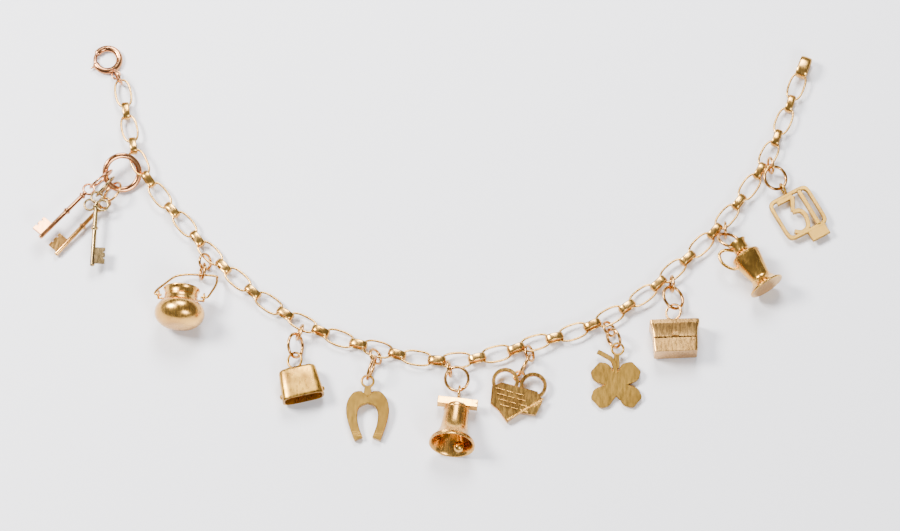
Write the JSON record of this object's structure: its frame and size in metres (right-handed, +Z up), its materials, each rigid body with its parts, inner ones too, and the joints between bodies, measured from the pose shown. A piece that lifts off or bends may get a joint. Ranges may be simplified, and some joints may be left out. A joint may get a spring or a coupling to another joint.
{
  "type": "charm bracelet",
  "caption": "Gold link charm bracelet laid out in an open curve, with a bolt ring clasp, a bunch of small keys and charms on jump rings.",
  "frame": {"origin": "middle of the foot of the whole bracelet's box, on the table it lies on", "axes": "+X to the right along the open curve, +Y from the charms towards the two ends, +Z up from the table"},
  "size_m": [0.144, 0.0794, 0.0086],
  "materials": {
    "yellow_gold": "polished yellow gold",
    "pale_gold": "polished pale gold",
    "rose_gold": "polished rose gold",
    "satin_gold": "satin gold"
  },
  "bodies": {
    "bracelet": {"bell_body": "yellow_gold", "bell_ring_1": "yellow_gold", "bell_ring_2": "yellow_gold", "bolt_ring_body": "rose_gold", "box_body": "yellow_gold", "box_lid": "yellow_gold", "box_ring_1": "yellow_gold", "box_ring_2": "yellow_gold", "chain": "yellow_gold", "clasp_jump_ring": "rose_gold", "clover": "satin_gold", "clover_ring_1": "yellow_gold", "clover_ring_2": "yellow_gold", "cowbell": "yellow_gold", "cowbell_ring_1": "yellow_gold", "cowbell_ring_2": "yellow_gold", "heart": "yellow_gold", "heart_ring_1": "yellow_gold", "heart_ring_2": "yellow_gold", "horseshoe": "satin_gold", "horseshoe_ring_1": "yellow_gold", "horseshoe_ring_2": "yellow_gold", "jug": "yellow_gold", "jug_ring_1": "yellow_gold", "jug_ring_2": "yellow_gold", "key_a": "rose_gold", "key_a_jump_ring": "rose_gold", "key_b": "yellow_gold", "key_b_jump_ring": "yellow_gold", "key_c": "pale_gold", "key_c_jump_ring": "pale_gold", "key_ring": "rose_gold", "number_frame": "satin_gold", "number_ring_1": "yellow_gold", "number_ring_2": "yellow_gold", "pot_bail": "yellow_gold", "pot_ring_1": "yellow_gold", "pot_ring_2": "yellow_gold"},
    "bolt_slide": {"bolt_ring_slide": "rose_gold"},
    "pot": {"pot_body": "yellow_gold"},
    "clapper": {"bell_clapper": "yellow_gold"}
  },
  "joints": [
    {"name": "bolt_slide_turn", "type": "hinge", "parent": "bracelet", "child": "bolt_slide", "pos_m": [-0.05955, 0.03688, 0.0006], "axis": [0, 0, 1], "range_deg": [0, 38], "stiffness_Nm_per_rad": 0.0005, "springref_deg": -11.46},
    {"name": "pot_swing", "type": "hinge", "parent": "bracelet", "child": "pot", "pos_m": [-0.04493, -0.01061, 0.00428], "axis": [-0.9976, 0.0698, 0], "range_deg": [0, 60]},
    {"name": "clapper_swing", "type": "hinge", "parent": "bracelet", "child": "clapper", "pos_m": [0.00445, -0.03146, 0.00228], "axis": [-0.9984, -0.0531, 0.0178], "range_deg": [0, 26]}
  ]
}
